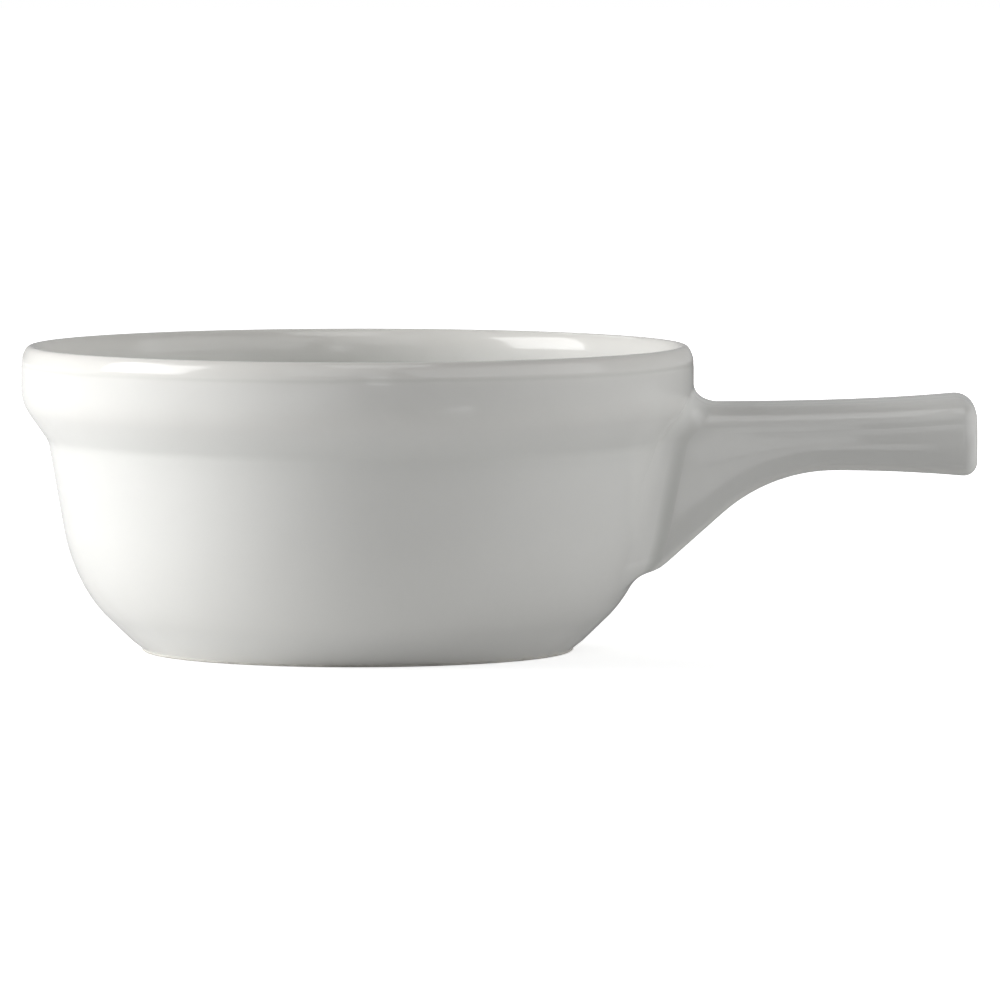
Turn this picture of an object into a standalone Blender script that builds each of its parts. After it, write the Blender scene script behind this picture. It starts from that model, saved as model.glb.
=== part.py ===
"""Mini casserole dish: a round china bowl with a rim band and one stick handle.

The bowl is turned, and the handle is a separate solid casting. A layer of slip lutes the
handle's root to the bowl's wall and is smoothed into a cove all round it.

Units are metres. The origin is on the surface that the dish stands on, at the middle of its
overall length. +X runs towards the handle's end and +Z is up. The pieces are modelled about
the bowl's own axis and are carried by an empty that stands on that axis.
"""

import math

import bmesh
import bpy
import numpy as np

# Overall sizes
RIM_RADIUS = 0.0635  # outside of the rim band
BOWL_HEIGHT = 0.0578  # foot to the lip's crest
HANDLE_REACH = 0.1167  # bowl's axis to the handle's end

# Lip and rim band
LIP_THICKNESS = 0.0039
LIP_CREST_INSET = 0.0018  # outside of the band to the crest
LIP_OUTER_DROP = 0.0038  # crest to where the band turns upright
LIP_INNER_DROP = 0.0050  # crest to where the inside turns upright
BAND_HEIGHT = 0.0107  # crest to the band's lower corner, before it is rounded
BAND_CORNER_RADIUS = 0.0085
UNDERCUT_ANGLE = math.radians(35)  # slope between band and wall, from the vertical
UNDERCUT_COVE_RADIUS = 0.0040
INNER_SHOULDER_RADIUS = 0.0060

# Wall, body curve and floor
WALL_THICKNESS = 0.0046
WALL_HEIGHT = 0.0170  # straight wall between the undercut and the body curve
WALL_DRAFT = math.radians(10)
BODY_RADIUS = 0.0554  # outside of the wall at the top of the body curve
BODY_CURVE_WIDTH = 0.0206  # how far the body curve runs in towards the axis
BODY_CURVE_RISE = 0.0014  # lowest line of the body curve above the foot's face
BODY_CURVE_SHOULDER = 0.34  # share of its height over which the curve keeps the wall's lean
BODY_CURVE_FLATNESS = 0.67  # share of its width over which the curve keeps level
FLOOR_THICKNESS = 0.0052

# Foot ring
FOOT_INSET = 0.0149  # outside of the wall at the top of the body curve to the foot's edge
FOOT_RADIUS = BODY_RADIUS - FOOT_INSET
FOOT_DRAFT = math.radians(35)
FOOT_RING_WIDTH = 0.0045
FOOT_EDGE_RADIUS = 0.0006
FOOT_COVE_RADIUS = 0.0020
RECESS_DEPTH = 0.0016
RECESS_CORNER_RADIUS = 0.0012

# Handle, seen from the side
HANDLE_TOP_DROP = 0.0107  # lip's crest to the handle's top at the root
HANDLE_TIP_RISE = 0.0020  # how far the top climbs from root to end
NECK_REACH = 0.0900  # bowl's axis to the neck, where the underside is level
NECK_DEPTH = 0.0126  # top at the root to the underside at the neck
TIP_UNDERSIDE_DROP = 0.0011
WEB_RADIUS = 0.0320  # curve from the neck down to the web
WEB_SLOPE = math.radians(41.5)
WEB_FOOT_LENGTH = 0.0051  # inside of the wall to where the web's slope would meet its level foot
WEB_FOOT_RADIUS = 0.0080  # curve between that slope and the foot

# Handle, seen from above and in section
NECK_WIDTH = 0.0200
ROOT_FLARE = 0.0030  # how much wider the root is than the neck
TIP_FLARE = 0.0044
TOP_EDGE_RADIUS = 0.0048
UNDER_EDGE_RADIUS = 0.0020
SIDE_CROWN = 0.0005  # how far the flat sides and top swell at their middle
END_TOP_RADIUS = 0.0043
END_SIDE_RADIUS = 0.0030
END_UNDER_RADIUS = 0.0028

# Luting slip between the handle and the bowl
JOINT_GAP = 0.0003  # clearance on each face of the slip
SLIP_THICKNESS = 0.0008
BEAD_EDGE = 0.0004  # thickness at the cove's thin edges
BEAD_WIDTH = 0.0025  # how far the cove runs out over the bowl
BEAD_LENGTH = 0.0034  # how far the cove runs out along the handle

# Facets
TURN_STEPS = 64
BODY_CURVE_STEPS = 9
LIP_STEPS = 4
CORNER_STEPS = 4
EDGE_STEPS = 6
SIDE_STEPS = 12
TOP_STEPS = 4
FACE_RINGS = 9
WEB_RINGS = 9
TIP_RINGS = 4
END_RINGS = 4
COVE_RINGS = 6

LONGEST_TANGENT = 0.49  # share of a side that one rounded corner may use
BISECTIONS = 40
SMALLEST_RADIUS = 0.0002
SMOOTH_ANGLE = math.radians(40)

GLAZE_COLOUR = (0.84, 0.84, 0.82, 1.0)
SLIP_COLOUR = (0.80, 0.80, 0.77, 1.0)
GLAZE_ROUGHNESS = 0.12
SLIP_ROUGHNESS = 0.18
GLAZE_IOR = 1.52

BOWL_AXIS_X = (RIM_RADIUS - HANDLE_REACH) / 2
COLLECTION_NAME = "mini_casserole_dish"


# Plane geometry


def along(angle):
    """Direction that points down and leans inwards by an angle from the vertical, as (r, z)."""
    return np.array([-math.sin(angle), -math.cos(angle)])


def inward(angle):
    """Direction square to along(angle), from the outside of the wall to its inside."""
    return np.array([-math.cos(angle), math.sin(angle)])


def meet(point_a, direction_a, point_b, direction_b):
    """Where two lines in a plane cross."""
    steps = np.linalg.solve(np.column_stack([direction_a, -direction_b]), point_b - point_a)
    return point_a + steps[0] * direction_a


def bezier(start, start_control, end_control, end, steps):
    """Points on a cubic curve, both ends included."""
    t = np.linspace(0.0, 1.0, steps + 1)[:, None]
    return (
        (1 - t) ** 3 * start
        + 3 * (1 - t) ** 2 * t * start_control
        + 3 * (1 - t) * t**2 * end_control
        + t**3 * end
    )


def quarter_ellipse(corner, start, end, steps):
    """Quarter of an ellipse from start to end, tangent there to the lines through corner."""
    turns = np.linspace(0.0, math.pi / 2, steps + 1)[:, None]
    return corner + (start - corner) * (1 - np.sin(turns)) + (end - corner) * (1 - np.cos(turns))


def rounded_path(corners):
    """An open outline from (point, radius) corners, each rounded by an arc that fits its sides."""
    points = [np.asarray(point, float) for point, _ in corners]
    path = [points[0]]
    for before, (_, radius), here, after in zip(points, corners[1:-1], points[1:], points[2:]):
        back, ahead = before - here, after - here
        room = LONGEST_TANGENT * min(np.linalg.norm(back), np.linalg.norm(ahead))
        back, ahead = back / np.linalg.norm(back), ahead / np.linalg.norm(ahead)
        half_angle = math.acos(np.clip(back @ ahead, -1.0, 1.0)) / 2
        tangent = min(radius / math.tan(half_angle), room) if radius else 0.0
        if not tangent:
            path.append(here)
            continue
        arc_radius = tangent * math.tan(half_angle)
        middle = (back + ahead) / np.linalg.norm(back + ahead)
        centre = here + middle * arc_radius / math.sin(half_angle)
        start, end = here + back * tangent - centre, here + ahead * tangent - centre
        turn = math.pi - 2 * half_angle
        for share in np.linspace(0.0, 1.0, CORNER_STEPS + 1):
            first = math.sin((1 - share) * turn) / math.sin(turn)
            last = math.sin(share * turn) / math.sin(turn)
            path.append(centre + first * start + last * end)
    path.append(points[-1])
    return np.array(path)


def crossing(distance, low, high):
    """The place between low and high where distance turns from below zero to above it."""
    for _ in range(BISECTIONS):
        middle = (low + high) / 2
        if distance(middle) < 0:
            low = middle
        else:
            high = middle
    return (low + high) / 2


# Bowl profile, as (radius, height) points


def undercut_corners():
    """Outer corners of the wall: band's lower edge, undercut's foot and top of the body curve.

    Also gives the undercut's slope, which leans out instead of in on a wall wider than the band.
    """
    band_corner = np.array([RIM_RADIUS, BOWL_HEIGHT - BAND_HEIGHT])
    foot_radius = BODY_RADIUS + WALL_HEIGHT * math.tan(WALL_DRAFT)
    slope = math.copysign(UNDERCUT_ANGLE, RIM_RADIUS - foot_radius)
    drop = (RIM_RADIUS - foot_radius) / math.tan(slope)
    undercut_foot = np.array([foot_radius, band_corner[1] - drop])
    body_top = np.array([BODY_RADIUS, undercut_foot[1] - WALL_HEIGHT])
    return band_corner, undercut_foot, body_top, slope


def body_curve(top, bottom):
    """Curve from the drafted wall down to the level floor."""
    drop = (top[1] - bottom[1]) * BODY_CURVE_SHOULDER
    run = (top[0] - bottom[0]) * BODY_CURVE_FLATNESS
    return bezier(
        top, top + drop * along(WALL_DRAFT), bottom + np.array([run, 0.0]), bottom, BODY_CURVE_STEPS
    )


def cut_by_foot(curve):
    """The part of the body's outside that is clear of the foot ring, ended on the foot's side."""
    lean = math.tan(FOOT_DRAFT)
    over = curve[:, 0] - (FOOT_RADIUS + curve[:, 1] * lean)
    last = int(np.flatnonzero(over > 0)[-1])
    share = over[last] / (over[last] - over[last + 1])
    return np.vstack([curve[: last + 1], curve[last] + share * (curve[last + 1] - curve[last])])


def outer_profile():
    """Outside of the bowl, from the lip's crest down to the top of the foot's side."""
    crest = np.array([RIM_RADIUS - LIP_CREST_INSET, BOWL_HEIGHT])
    band_top = np.array([RIM_RADIUS, BOWL_HEIGHT - LIP_OUTER_DROP])
    lip = quarter_ellipse(np.array([RIM_RADIUS, BOWL_HEIGHT]), crest, band_top, LIP_STEPS)
    band_corner, undercut_foot, body_top, _ = undercut_corners()
    undercut = rounded_path(
        [
            (band_top, 0.0),
            (band_corner, BAND_CORNER_RADIUS),
            (undercut_foot, UNDERCUT_COVE_RADIUS),
            (body_top, 0.0),
        ]
    )
    body_bottom = np.array([BODY_RADIUS - BODY_CURVE_WIDTH, BODY_CURVE_RISE])
    underside_middle = np.array([0.0, BODY_CURVE_RISE])
    body = cut_by_foot(np.vstack([body_curve(body_top, body_bottom), underside_middle]))
    return np.vstack([lip, undercut[1:], body[1:]])


def foot_profile(body_end, foot_top):
    """Foot ring and recessed underside, from the last point of the body curve to the axis."""
    ring_inside = FOOT_RADIUS - FOOT_RING_WIDTH
    path = rounded_path(
        [
            (body_end, 0.0),
            (foot_top, FOOT_COVE_RADIUS),
            ((FOOT_RADIUS, 0.0), FOOT_EDGE_RADIUS),
            ((ring_inside, 0.0), FOOT_EDGE_RADIUS),
            ((ring_inside, RECESS_DEPTH), RECESS_CORNER_RADIUS),
            ((0.0, RECESS_DEPTH), 0.0),
        ]
    )
    return path[1:]


def inner_profile():
    """Inside of the bowl, from the middle of its floor up to just short of the lip's crest."""
    _, undercut_foot, body_top, slope = undercut_corners()
    floor_height = RECESS_DEPTH + FLOOR_THICKNESS
    floor_edge = np.array([BODY_RADIUS - BODY_CURVE_WIDTH, floor_height])
    wall_bottom = body_top + WALL_THICKNESS * inward(WALL_DRAFT)
    lip_inside = np.array([RIM_RADIUS - LIP_THICKNESS, BOWL_HEIGHT - LIP_INNER_DROP])
    flank = undercut_foot + WALL_THICKNESS * inward(slope)
    undercut = meet(flank, along(slope), wall_bottom, along(WALL_DRAFT))
    shoulder = meet(flank, along(slope), lip_inside, along(0.0))
    wall = rounded_path(
        [
            (wall_bottom, 0.0),
            (undercut, UNDERCUT_COVE_RADIUS + WALL_THICKNESS),
            (shoulder, INNER_SHOULDER_RADIUS),
            (lip_inside, 0.0),
        ]
    )
    crest = np.array([RIM_RADIUS - LIP_CREST_INSET, BOWL_HEIGHT])
    corner = np.array([lip_inside[0], BOWL_HEIGHT])
    lip = quarter_ellipse(corner, lip_inside, crest, LIP_STEPS)
    body = body_curve(wall_bottom, floor_edge)[::-1]
    middle = np.array([[0.0, floor_height]])
    return np.vstack([middle, body, wall[1:], lip[1:-1]])


class WallSurface:
    """The bowl's outer wall grown by an offset, as a surface that pieces can be set against."""

    def __init__(self, offset):
        outline = outer_profile()
        run = np.gradient(outline, axis=0)
        run /= np.linalg.norm(run, axis=1)[:, None]
        outwards = np.column_stack([-run[:, 1], run[:, 0]])
        self.outline = (outline + offset * outwards)[::-1]
        steps = np.linalg.norm(np.diff(self.outline, axis=0), axis=1)
        self.lengths = np.concatenate([[0.0], np.cumsum(steps)])

    def radius(self, height):
        return np.interp(height, self.outline[:, 1], self.outline[:, 0])

    def length_at(self, height):
        """Length along the outline from the foot up to a height."""
        return np.interp(height, self.outline[:, 1], self.lengths)

    def height_at(self, length):
        return np.interp(length, self.lengths, self.outline[:, 1])

    def points(self, turns, heights):
        """Points of the surface at angles about the axis and heights."""
        radii = self.radius(heights)
        return np.column_stack([radii * np.cos(turns), radii * np.sin(turns), heights])


# Handle and seam surfaces


def end_inset(radius, x):
    """How far a side draws in near the handle's end, where its edge is rounded."""
    depth = max(radius - (HANDLE_REACH - x), 0.0)
    return radius - math.sqrt(max(radius**2 - depth**2, 0.0))


def corner_arc(centre, radius, start):
    """A quarter of a circle in a section, anticlockwise from an angle."""
    turns = start + np.linspace(0.0, math.pi / 2, EDGE_STEPS + 1)
    return np.asarray(centre) + radius * np.column_stack([np.cos(turns), np.sin(turns)])


def swollen_line(start, end, steps, swell):
    """Points between two corners of a section, on a line that swells at its middle."""
    shares = np.linspace(0.0, 1.0, steps + 1)[1:-1, None]
    return start + shares * (end - start) + 4 * shares * (1 - shares) * np.asarray(swell)


class HandleShape:
    """The stick handle's surface, as sections across X at distances from the bowl's axis."""

    def __init__(self):
        self.web_foot_reach = BODY_RADIUS - WALL_THICKNESS + WEB_FOOT_LENGTH

    def top(self, x):
        climb = np.clip((x - BODY_RADIUS) / (HANDLE_REACH - BODY_RADIUS), 0.0, 1.0)
        return BOWL_HEIGHT - HANDLE_TOP_DROP + HANDLE_TIP_RISE * climb**3

    def web_underside(self, x):
        """Height of the underside from the neck inwards: a curve, then a straight slope."""
        turn = min(math.asin(min((NECK_REACH - x) / WEB_RADIUS, 1.0)), WEB_SLOPE)
        arc_end = NECK_REACH - WEB_RADIUS * math.sin(turn)
        neck_height = BOWL_HEIGHT - HANDLE_TOP_DROP - NECK_DEPTH
        return neck_height - WEB_RADIUS * (1 - math.cos(turn)) - (arc_end - x) * math.tan(turn)

    def underside(self, x):
        """Height of the underside, level on the web's foot and drooping towards the end."""
        if x >= NECK_REACH:
            droop = (x - NECK_REACH) / (HANDLE_REACH - NECK_REACH)
            return self.web_underside(NECK_REACH) - TIP_UNDERSIDE_DROP * droop**2
        tangent = WEB_FOOT_RADIUS * math.tan(WEB_SLOPE / 2)
        curve_start = self.web_foot_reach - tangent
        if x >= self.web_foot_reach + tangent * math.cos(WEB_SLOPE):
            return self.web_underside(x)
        climb = WEB_FOOT_RADIUS - math.sqrt(WEB_FOOT_RADIUS**2 - max(x - curve_start, 0.0) ** 2)
        return self.web_underside(self.web_foot_reach) + climb

    def half_width(self, x):
        if x < NECK_REACH:
            share = (NECK_REACH - x) / (NECK_REACH - BODY_RADIUS)
            return (NECK_WIDTH + ROOT_FLARE * share**2) / 2
        share = (x - NECK_REACH) / (HANDLE_REACH - NECK_REACH)
        return (NECK_WIDTH + TIP_FLARE * share**2) / 2

    def section(self, x, grow=0.0):
        """Points (y, z) round the section, from its lower right edge and then upwards."""
        side_inset = end_inset(END_SIDE_RADIUS, x)
        top_inset = end_inset(END_TOP_RADIUS, x)
        half = self.half_width(x) - side_inset + grow - SIDE_CROWN
        top = self.top(x) - top_inset + grow - SIDE_CROWN
        under = self.underside(x) + end_inset(END_UNDER_RADIUS, x) - grow
        top_radius = max(TOP_EDGE_RADIUS - (side_inset + top_inset) / 2, SMALLEST_RADIUS) + grow
        under_radius = max(UNDER_EDGE_RADIUS - side_inset / 2, SMALLEST_RADIUS) + grow
        mirror = np.array([-1.0, 1.0])
        right_under = corner_arc((half - under_radius, under + under_radius), under_radius, -math.pi / 2)
        right_top = corner_arc((half - top_radius, top - top_radius), top_radius, 0.0)
        right_side = swollen_line(right_under[-1], right_top[0], SIDE_STEPS, (SIDE_CROWN, 0.0))
        left_top, left_side, left_under = (
            side[::-1] * mirror for side in (right_top, right_side, right_under)
        )
        crown = swollen_line(right_top[-1], left_top[0], TOP_STEPS, (0.0, SIDE_CROWN))
        belly = swollen_line(left_under[-1], right_under[0], TOP_STEPS, (0.0, 0.0))
        right = (right_under, right_side, right_top)
        return np.vstack([*right, crown, left_top, left_side, left_under, belly])

    def points(self, reaches, grow=0.0):
        """One point of the surface for each place round the section, each at its own reach."""
        return np.array([(x, *self.section(x, grow)[place]) for place, x in enumerate(reaches)])

    def root_reaches(self, wall, grow=0.0):
        """Where each line along the surface meets the bowl's wall, from the axis."""

        def clear_of_wall(place, x):
            y, z = self.section(x, grow)[place]
            return math.hypot(x, y) - wall.radius(z)

        places = range(len(self.section(NECK_REACH)))
        return np.array(
            [crossing(lambda x: clear_of_wall(place, x), 0.0, NECK_REACH) for place in places]
        )

    def root_outline(self, wall, grow=0.0):
        """The outline of the root on the bowl's wall, as angles about the axis and heights."""
        points = self.points(self.root_reaches(wall, grow), grow)
        return np.arctan2(points[:, 1], points[:, 0]), points[:, 2]


def face_rings(wall, turns, heights):
    """Rings that close an outline over the wall's surface, from its middle point outwards."""
    middle = (heights.max() + heights.min()) / 2
    shares = np.sin(np.linspace(0.0, math.pi / 2, FACE_RINGS + 1))
    return [wall.points(share * turns, middle + share * (heights - middle)) for share in shares]


def spread_outline(wall, turns, heights, distance):
    """An outline on the wall moved outwards over the wall's surface by a distance."""
    radii = wall.radius(heights)
    flat = np.column_stack([turns * radii, wall.length_at(heights)])
    run = np.roll(flat, -1, axis=0) - np.roll(flat, 1, axis=0)
    outwards = np.column_stack([run[:, 1], -run[:, 0]]) / np.linalg.norm(run, axis=1)[:, None]
    moved = flat + distance * outwards
    return moved[:, 0] / radii, wall.height_at(moved[:, 1])


# Blender objects


def glaze(name, colour, roughness):
    made = bpy.data.materials.new(name)
    made.use_nodes = True
    shader = made.node_tree.nodes["Principled BSDF"]
    shader.inputs["Base Color"].default_value = colour
    shader.inputs["Roughness"].default_value = roughness
    shader.inputs["Metallic"].default_value = 0.0
    shader.inputs["IOR"].default_value = GLAZE_IOR
    made.diffuse_color = colour
    return made


def add_object(mesh, finish, parent, collection):
    """An object named for its mesh, smooth but for sharp edges, in the collection."""
    made = bpy.data.objects.new(mesh.name, mesh)
    made.parent = parent
    mesh.materials.append(finish)
    mesh.shade_smooth()
    mesh.set_sharp_from_angle(angle=SMOOTH_ANGLE)
    collection.objects.link(made)
    return made


def lofted_mesh(name, rings):
    """A closed skin over rings of points. A first or last ring with no size becomes one point."""
    mesh = bpy.data.meshes.new(name)
    skin = bmesh.new()
    rows = []
    for ring in rings:
        is_point = np.ptp(ring, axis=0).max() < SMALLEST_RADIUS / 2
        rows.append([skin.verts.new(point) for point in (ring[:1] if is_point else ring)])
    for near, far in zip(rows, rows[1:]):
        count = max(len(near), len(far))
        for here in range(count):
            after = (here + 1) % count
            near_side = [near[here % len(near)], near[after % len(near)]]
            far_side = [far[after % len(far)], far[here % len(far)]]
            skin.faces.new(list(dict.fromkeys(near_side + far_side)))
    for end in (rows[0], rows[-1]):
        if len(end) > 1:
            skin.faces.new(end)
    bmesh.ops.recalc_face_normals(skin, faces=skin.faces)
    skin.to_mesh(mesh)
    skin.free()
    return mesh


def make_bowl(parent, collection):
    """The turned bowl: floor, wall, rim band, lip and foot ring in one piece."""
    outside = outer_profile()
    profile = np.vstack([inner_profile(), outside[:-1], foot_profile(*outside[-2:])])
    mesh = bpy.data.meshes.new("bowl")
    edges = [(here, here + 1) for here in range(len(profile) - 1)]
    mesh.from_pydata([(radius, 0.0, height) for radius, height in profile], edges, [])
    finish = glaze("bowl_glaze", GLAZE_COLOUR, GLAZE_ROUGHNESS)
    bowl = add_object(mesh, finish, parent, collection)
    turn = bowl.modifiers.new("turn", "SCREW")
    turn.axis = "Z"
    turn.angle = 2 * math.pi
    turn.steps = TURN_STEPS
    turn.render_steps = TURN_STEPS
    turn.use_merge_vertices = True
    turn.merge_threshold = 0.00001
    turn.use_smooth_shade = True


def make_handle(parent, collection):
    """The solid stick handle, with a web under its root and a root face that follows the wall."""
    shape = HandleShape()
    wall = WallSurface(2 * JOINT_GAP + SLIP_THICKNESS)
    root = shape.root_reaches(wall)
    face = face_rings(wall, *shape.root_outline(wall))[:-1]
    shares = np.linspace(0.0, 1.0, WEB_RINGS + 1)
    web = [shape.points(root + share * (NECK_REACH - root)) for share in shares]
    end_start = HANDLE_REACH - max(END_TOP_RADIUS, END_SIDE_RADIUS, END_UNDER_RADIUS)
    turns = np.linspace(0.0, math.pi / 2, END_RINGS + 1)[1:]
    reaches = [
        *np.linspace(NECK_REACH, end_start, TIP_RINGS + 1)[1:],
        *(end_start + (HANDLE_REACH - end_start) * np.sin(turns)),
    ]
    tip = [shape.points(np.full(len(root), x)) for x in reaches]
    mesh = lofted_mesh("handle", [*face, *web, *tip])
    add_object(mesh, glaze("handle_glaze", GLAZE_COLOUR, GLAZE_ROUGHNESS), parent, collection)


def make_luting_slip(parent, collection):
    """The slip that joins the handle to the bowl: a layer behind the root and a cove round it."""
    shape = HandleShape()
    bed = WallSurface(JOINT_GAP)
    bead_foot = WallSurface(JOINT_GAP + BEAD_EDGE)
    seat = WallSurface(JOINT_GAP + SLIP_THICKNESS)
    bead_grow = JOINT_GAP + BEAD_EDGE
    bead_rim = spread_outline(bead_foot, *shape.root_outline(bead_foot, bead_grow), BEAD_WIDTH)
    corner_reaches = shape.root_reaches(bead_foot, bead_grow)
    collar_end = corner_reaches + BEAD_LENGTH
    start = bead_foot.points(*bead_rim)
    corner = shape.points(corner_reaches, bead_grow)
    end = shape.points(collar_end, bead_grow)
    shares = np.linspace(0.0, 1.0, COVE_RINGS + 1)
    cove = [(1 - t) ** 2 * start + 2 * t * (1 - t) * corner + t**2 * end for t in shares]
    collar_middle = (collar_end + shape.root_reaches(seat, JOINT_GAP)) / 2
    collar = [shape.points(reaches, JOINT_GAP) for reaches in (collar_end, collar_middle)]
    back = face_rings(bed, *bead_rim)
    front = face_rings(seat, *shape.root_outline(seat, JOINT_GAP))[::-1]
    mesh = lofted_mesh("luting_slip", [*back, *cove, *collar, *front])
    add_object(mesh, glaze("luting_slip_glaze", SLIP_COLOUR, SLIP_ROUGHNESS), parent, collection)


def main():
    for old in list(bpy.data.objects):
        bpy.data.objects.remove(old, do_unlink=True)
    collection = bpy.data.collections.new(COLLECTION_NAME)
    bpy.context.scene.collection.children.link(collection)
    bowl_axis = bpy.data.objects.new("bowl_axis", None)
    bowl_axis.location = (BOWL_AXIS_X, 0.0, 0.0)
    collection.objects.link(bowl_axis)
    for make in (make_bowl, make_handle, make_luting_slip):
        make(bowl_axis, collection)


main()
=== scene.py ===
"""Mini casserole dish: a glazed china bowl with a rim band, a bare foot and one stick handle.

Each piece is a finely stepped copy of a CAD solid, in metres, in the row's own frame: the
origin is on the standing surface at the middle of the overall length, +X runs to the handle's
end and +Z is up. The bowl's axis stands at BOWL_AXIS.
"""

import logging
import math
from dataclasses import dataclass
from enum import Enum
from typing import Any

import bpy
import numpy as np
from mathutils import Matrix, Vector


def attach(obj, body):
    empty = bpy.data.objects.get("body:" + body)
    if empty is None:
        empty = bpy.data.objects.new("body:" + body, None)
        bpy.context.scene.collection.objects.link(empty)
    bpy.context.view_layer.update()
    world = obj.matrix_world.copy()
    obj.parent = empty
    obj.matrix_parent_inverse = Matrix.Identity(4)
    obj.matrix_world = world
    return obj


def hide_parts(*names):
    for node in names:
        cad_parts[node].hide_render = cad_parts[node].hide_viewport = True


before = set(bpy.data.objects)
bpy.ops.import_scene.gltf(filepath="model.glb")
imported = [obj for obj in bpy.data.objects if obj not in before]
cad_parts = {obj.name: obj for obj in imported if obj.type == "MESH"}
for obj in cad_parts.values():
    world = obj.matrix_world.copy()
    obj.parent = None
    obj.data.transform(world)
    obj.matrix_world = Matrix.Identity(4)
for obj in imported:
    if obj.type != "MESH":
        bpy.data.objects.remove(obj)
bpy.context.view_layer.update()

LOG = logging.getLogger("mini_casserole_dish")
BODY = "root"
BOWL_AXIS = np.array([-0.0266, 0.0, 0.0])
MILLIMETRE = 0.001
ON_AXIS = 1e-7
ARC_POINTS = 25
CURVE_POINTS = 49
SWEEP_POINTS = 97

Pair = tuple[float, float]
Triple = tuple[float, float, float]
Pieces = list[bpy.types.Object]


class Slot(Enum):
    """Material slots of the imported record."""

    BOWL = "bowl_glaze"
    HANDLE = "handle_glaze"
    SEAM = "luting_slip_glaze"


class Coat(Enum):
    """Where the glaze is thicker or thinner, or takes painted shade, kept per vertex from 0 to 1.
    """

    POOLED_AND_SHADE = "glaze_pooled_and_painted_shade"
    THIN = "glaze_thin"


def linear(hex_colour: str) -> tuple[float, float, float, float]:
    """Turn an sRGB hex colour into Blender's linear colour.

    Args:
        hex_colour: six hex digits after a hash sign.

    Returns:
        Linear red, green and blue, and an alpha of 1.
    """
    channels = np.array([int(hex_colour[start : start + 2], 16) / 255 for start in (1, 3, 5)])
    curve = ((channels + 0.055) / 1.055) ** 2.4
    red, green, blue = np.where(channels <= 0.04045, channels / 12.92, curve).tolist()
    return red, green, blue, 1.0


def add_node(
    tree: bpy.types.NodeTree,
    kind: str,
    sockets: dict[Any, Any] | None = None,
    links: dict[Any, bpy.types.NodeSocket] | None = None,
    **settings: Any,
) -> bpy.types.Node:
    """Add a node with its settings, socket values and links.

    Args:
        tree: the tree that takes the node.
        kind: the node's type name.
        sockets: values for input sockets, by name or number.
        links: output sockets that feed input sockets, by name or number.
        **settings: the node's own properties.

    Returns:
        The new node.
    """
    node = tree.nodes.new(kind)
    for name, value in settings.items():
        setattr(node, name, value)
    for key, value in (sockets or {}).items():
        node.inputs[key].default_value = value
    for key, source in (links or {}).items():
        tree.links.new(source, node.inputs[key])
    return node


# Plane geometry, on (radius, height) points


def along(angle: float) -> np.ndarray:
    """Direction that points down and leans inwards by an angle from the vertical."""
    return np.array([-math.sin(angle), -math.cos(angle)])


def inward(angle: float) -> np.ndarray:
    """Direction square to along(angle), from the outside of the wall to its inside."""
    return np.array([-math.cos(angle), math.sin(angle)])


def meet(
    point_a: np.ndarray, direction_a: np.ndarray, point_b: np.ndarray, direction_b: np.ndarray
) -> np.ndarray:
    """Where two lines cross, each given by a point and a direction."""
    steps = np.linalg.solve(np.column_stack([direction_a, -direction_b]), point_b - point_a)
    return point_a + steps[0] * direction_a


def quarter_ellipse(corner: np.ndarray, start: np.ndarray, end: np.ndarray) -> np.ndarray:
    """Quarter of an ellipse, tangent to the lines from its two ends to a corner."""
    turns = np.linspace(0.0, math.pi / 2, CURVE_POINTS)[:, None]
    return corner + (start - corner) * (1 - np.sin(turns)) + (end - corner) * (1 - np.cos(turns))


def bezier(
    share: Any, start: np.ndarray, first: np.ndarray, last: np.ndarray, end: np.ndarray
) -> np.ndarray:
    """Points at a share of cubic curves that leave start for first and reach end from last."""
    ends = (1 - share) ** 3 * start + share**3 * end
    return ends + 3 * (1 - share) ** 2 * share * first + 3 * (1 - share) * share**2 * last


def rounded_path(*corners: tuple[Any, float]) -> np.ndarray:
    """Round the corners of an open outline by arcs that fit its sides.

    Args:
        *corners: each corner's point and radius; the two ends stay sharp.

    Returns:
        Points of the outline.
    """
    points = [np.asarray(point, float) for point, _ in corners]
    path = [points[0]]
    for before, (_, radius), here, after in zip(points, corners[1:-1], points[1:], points[2:]):
        back, ahead = before - here, after - here
        # An arc takes less than half of each side, so that two arcs never overlap.
        room = 0.49 * min(np.linalg.norm(back), np.linalg.norm(ahead))
        back, ahead = back / np.linalg.norm(back), ahead / np.linalg.norm(ahead)
        half_angle = math.acos(np.clip(back @ ahead, -1.0, 1.0)) / 2
        tangent = min(radius / math.tan(half_angle), room)
        arc_radius = tangent * math.tan(half_angle)
        middle = (back + ahead) / np.linalg.norm(back + ahead)
        centre = here + middle * arc_radius / math.sin(half_angle)
        start, end = here + back * tangent - centre, here + ahead * tangent - centre
        turn = math.pi - 2 * half_angle
        shares = np.linspace(0.0, 1.0, ARC_POINTS)[:, None]
        arc = (np.sin((1 - shares) * turn) * start + np.sin(shares * turn) * end) / math.sin(turn)
        path.extend(centre + arc)
    path.append(points[-1])
    return np.array(path)


def even_spacing(outline: np.ndarray, spacing: float) -> np.ndarray:
    """Place points evenly along an outline.

    Args:
        outline: points of an open outline.
        spacing: the distance wanted between points.

    Returns:
        Evenly spaced points with the same two ends.
    """
    steps = np.linalg.norm(np.diff(outline, axis=0), axis=1)
    lengths = np.concatenate([[0.0], np.cumsum(steps)])
    places = np.linspace(0.0, lengths[-1], max(int(lengths[-1] / spacing), 2) + 1)
    return np.column_stack([np.interp(places, lengths, outline[:, axis]) for axis in (0, 1)])


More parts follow.
